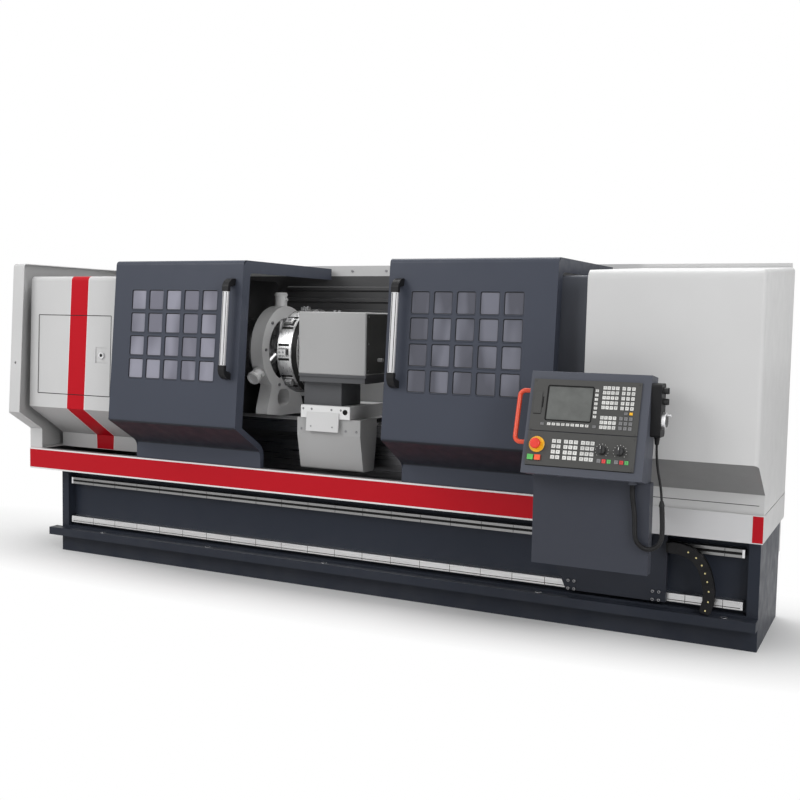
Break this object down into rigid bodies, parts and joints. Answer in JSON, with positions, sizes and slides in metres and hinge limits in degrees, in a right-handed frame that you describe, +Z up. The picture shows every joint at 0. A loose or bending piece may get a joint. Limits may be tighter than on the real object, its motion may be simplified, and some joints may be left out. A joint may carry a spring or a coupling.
{
  "type": "cnc turning lathe",
  "caption": "Flat-bed computer-controlled turning lathe with sliding doors, a chuck, steady rest, tool turret, tailstock and a control panel that rolls on front rails.",
  "frame": {"origin": "On the floor under the middle of the machine's box, +Z up.", "axes": "+X along the bed from the chuck to the tailstock, +Y from the operator's side to the back, +Z up."},
  "size_m": [3.812, 1.2304, 1.572],
  "materials": {
    "door_paint": "semi-gloss powder coat",
    "base_paint": "semi-gloss paint on a casting",
    "red_paint": "gloss paint",
    "bare_plate": "brushed",
    "light_paint": "fine textured powder coat",
    "guard_paint": "semi-gloss paint",
    "casting_paint": "paint on cast iron",
    "way_iron": "ground ways",
    "ground_steel": "ground",
    "chuck_steel": "turned",
    "turret_steel": "turned and milled",
    "pane": "clear sheet",
    "handle_bar": "anodised",
    "grip_plastic": "fine grained",
    "chrome_lock": "plated",
    "panel_paint": "fine textured powder coat",
    "insert_paint": "satin",
    "key_membrane": "satin film",
    "stop_red": "moulded",
    "start_green": "moulded",
    "hold_orange": "moulded",
    "knob_black": "moulded",
    "grab_orange": "gloss coat",
    "pendant_plastic": "fine grained",
    "wheel_metal": "plated",
    "conduit_black": "corrugated",
    "ferrule_black": "moulded",
    "cord_black": "smooth",
    "chain_plastic": "moulded"
  },
  "bodies": {
    "machine": {"base_casting": "base_paint", "bed_casting": "way_iron", "chip_tray": "base_paint", "fascia_red": "red_paint", "fascia_silver": "bare_plate", "front_rails": "ground_steel", "headstock_casting": "casting_paint", "headstock_cover": "light_paint", "left_end_cover": "light_paint", "right_cover": "light_paint", "rear_guard": "guard_paint", "inner_guard": "guard_paint", "steady_frame": "casting_paint"},
    "left_door": {"left_door_shell": "door_paint", "left_door_panes": "pane", "left_door_handle": "handle_bar", "left_door_grips": "grip_plastic"},
    "right_door": {"right_door_shell": "door_paint", "right_door_panes": "pane", "right_door_handle": "handle_bar", "right_door_grips": "grip_plastic"},
    "access_door": {"access_door": "light_paint"},
    "access_lock": {"access_lock": "chrome_lock"},
    "spindle": {"spindle": "ground_steel", "chuck_body": "chuck_steel"},
    "chuck_jaw_1": {"chuck_jaw_1": "chuck_steel"},
    "chuck_jaw_2": {"chuck_jaw_2": "chuck_steel"},
    "chuck_jaw_3": {"chuck_jaw_3": "chuck_steel"},
    "steady_quill_1": {"steady_quill_1": "ground_steel"},
    "steady_quill_2": {"steady_quill_2": "ground_steel"},
    "steady_quill_3": {"steady_quill_3": "ground_steel"},
    "saddle": {"saddle": "casting_paint", "apron": "casting_paint"},
    "cross_slide": {"cross_slide": "ground_steel", "turret_pedestal": "casting_paint", "turret_housing": "casting_paint"},
    "turret": {"turret_disc": "turret_steel"},
    "tailstock": {"tailstock_body": "casting_paint"},
    "tailstock_quill": {"tailstock_quill": "ground_steel"},
    "live_centre": {"live_centre": "ground_steel"},
    "panel": {"carriage_plate": "panel_paint", "panel_column": "panel_paint", "panel_box": "panel_paint", "screen_plate": "insert_paint", "operator_plate": "insert_paint", "panel_keys": "key_membrane", "grab_handle": "grab_orange", "pendant_body": "pendant_plastic", "conduit": "conduit_black", "conduit_ferrule": "ferrule_black", "pendant_cord": "cord_black", "energy_chain": "chain_plastic"},
    "stop_button": {"stop_button": "stop_red"},
    "start_button": {"start_button": "start_green"},
    "hold_button": {"hold_button": "hold_orange"},
    "feed_knob": {"feed_knob": "knob_black"},
    "speed_knob": {"speed_knob": "knob_black"},
    "pendant_wheel": {"pendant_wheel": "wheel_metal"},
    "pendant_scale_knob": {"pendant_scale_knob": "knob_black"},
    "pendant_axis_knob": {"pendant_axis_knob": "knob_black"}
  },
  "joints": [
    {"name": "left_door_slide", "type": "slide", "parent": "machine", "child": "left_door", "axis": [1, 0, 0], "range_m": [0, 0.378]},
    {"name": "right_door_slide", "type": "slide", "parent": "machine", "child": "right_door", "axis": [1, 0, 0], "range_m": [-0.378, 0]},
    {"name": "access_door_hinge", "type": "hinge", "parent": "machine", "child": "access_door", "pos_m": [-1.7552, -0.18825, 0.875], "axis": [0, 0.0336, 0.9994], "range_deg": [-90, 0]},
    {"name": "access_lock_turn", "type": "hinge", "parent": "access_door", "child": "access_lock", "pos_m": [-1.334, -0.18827, 1.083], "axis": [0, -1, 0], "range_deg": [0, 90]},
    {"name": "spindle_turn", "type": "hinge", "parent": "machine", "child": "spindle", "pos_m": [-0.64, 0.29523, 1.13], "axis": [1, 0, 0], "continuous": true},
    {"name": "chuck_jaw_1_slide", "type": "slide", "parent": "spindle", "child": "chuck_jaw_1", "axis": [0, 0, 1], "range_m": [-0.02, 0.015]},
    {"name": "chuck_jaw_2_slide", "type": "slide", "parent": "spindle", "child": "chuck_jaw_2", "axis": [0, -0.866, -0.5], "range_m": [-0.02, 0.015]},
    {"name": "chuck_jaw_3_slide", "type": "slide", "parent": "spindle", "child": "chuck_jaw_3", "axis": [0, 0.866, -0.5], "range_m": [-0.02, 0.015]},
    {"name": "steady_quill_1_slide", "type": "slide", "parent": "machine", "child": "steady_quill_1", "axis": [0, 0, 1], "range_m": [-0.03, 0.015]},
    {"name": "steady_quill_2_slide", "type": "slide", "parent": "machine", "child": "steady_quill_2", "axis": [0, -0.866, -0.5], "range_m": [-0.03, 0.015]},
    {"name": "steady_quill_3_slide", "type": "slide", "parent": "machine", "child": "steady_quill_3", "axis": [0, 0.866, -0.5], "range_m": [-0.03, 0.015]},
    {"name": "saddle_slide", "type": "slide", "parent": "machine", "child": "saddle", "axis": [1, 0, 0], "range_m": [-0.15, 0.24]},
    {"name": "cross_slide_travel", "type": "slide", "parent": "saddle", "child": "cross_slide", "axis": [0, 1, 0], "range_m": [-0.08, 0.008]},
    {"name": "turret_index", "type": "hinge", "parent": "cross_slide", "child": "turret", "pos_m": [-0.202, 0.07523, 1.13], "axis": [1, 0, 0], "continuous": true},
    {"name": "tailstock_slide", "type": "slide", "parent": "machine", "child": "tailstock", "axis": [1, 0, 0], "range_m": [0, 0.5]},
    {"name": "tailstock_quill_slide", "type": "slide", "parent": "tailstock", "child": "tailstock_quill", "axis": [1, 0, 0], "range_m": [-0.12, 0]},
    {"name": "live_centre_turn", "type": "hinge", "parent": "tailstock_quill", "child": "live_centre", "pos_m": [0.196, 0.29523, 1.13], "axis": [1, 0, 0], "continuous": true},
    {"name": "panel_slide", "type": "slide", "parent": "machine", "child": "panel", "axis": [1, 0, 0], "range_m": [-2.2, 0.1]},
    {"name": "stop_button_press", "type": "slide", "parent": "panel", "child": "stop_button", "axis": [0, 0.959, -0.2834], "range_m": [0, 0.005], "stiffness_N_per_m": 800, "springref_m": -0.002},
    {"name": "start_button_press", "type": "slide", "parent": "panel", "child": "start_button", "axis": [0, 0.959, -0.2834], "range_m": [0, 0.002], "stiffness_N_per_m": 500, "springref_m": -0.002},
    {"name": "hold_button_press", "type": "slide", "parent": "panel", "child": "hold_button", "axis": [0, 0.959, -0.2834], "range_m": [0, 0.002], "stiffness_N_per_m": 500, "springref_m": -0.002},
    {"name": "feed_knob_turn", "type": "hinge", "parent": "panel", "child": "feed_knob", "pos_m": [1.391, -0.57752, 0.82797], "axis": [0, -0.959, 0.2834], "range_deg": [-135, 135]},
    {"name": "speed_knob_turn", "type": "hinge", "parent": "panel", "child": "speed_knob", "pos_m": [1.458, -0.57752, 0.82797], "axis": [0, -0.959, 0.2834], "range_deg": [-135, 135]},
    {"name": "pendant_wheel_turn", "type": "hinge", "parent": "panel", "child": "pendant_wheel", "pos_m": [1.584, -0.47177, 0.942], "axis": [1, 0, 0], "continuous": true},
    {"name": "pendant_scale_turn", "type": "hinge", "parent": "panel", "child": "pendant_scale_knob", "pos_m": [1.584, -0.47177, 1.012], "axis": [1, 0, 0], "range_deg": [-60, 60]},
    {"name": "pendant_axis_turn", "type": "hinge", "parent": "panel", "child": "pendant_axis_knob", "pos_m": [1.584, -0.47177, 1.052], "axis": [1, 0, 0], "range_deg": [-60, 60]}
  ],
  "couplings": [
    {"joint": "chuck_jaw_2_slide", "follows": "chuck_jaw_1_slide", "ratio": 1},
    {"joint": "chuck_jaw_3_slide", "follows": "chuck_jaw_1_slide", "ratio": 1}
  ]
}
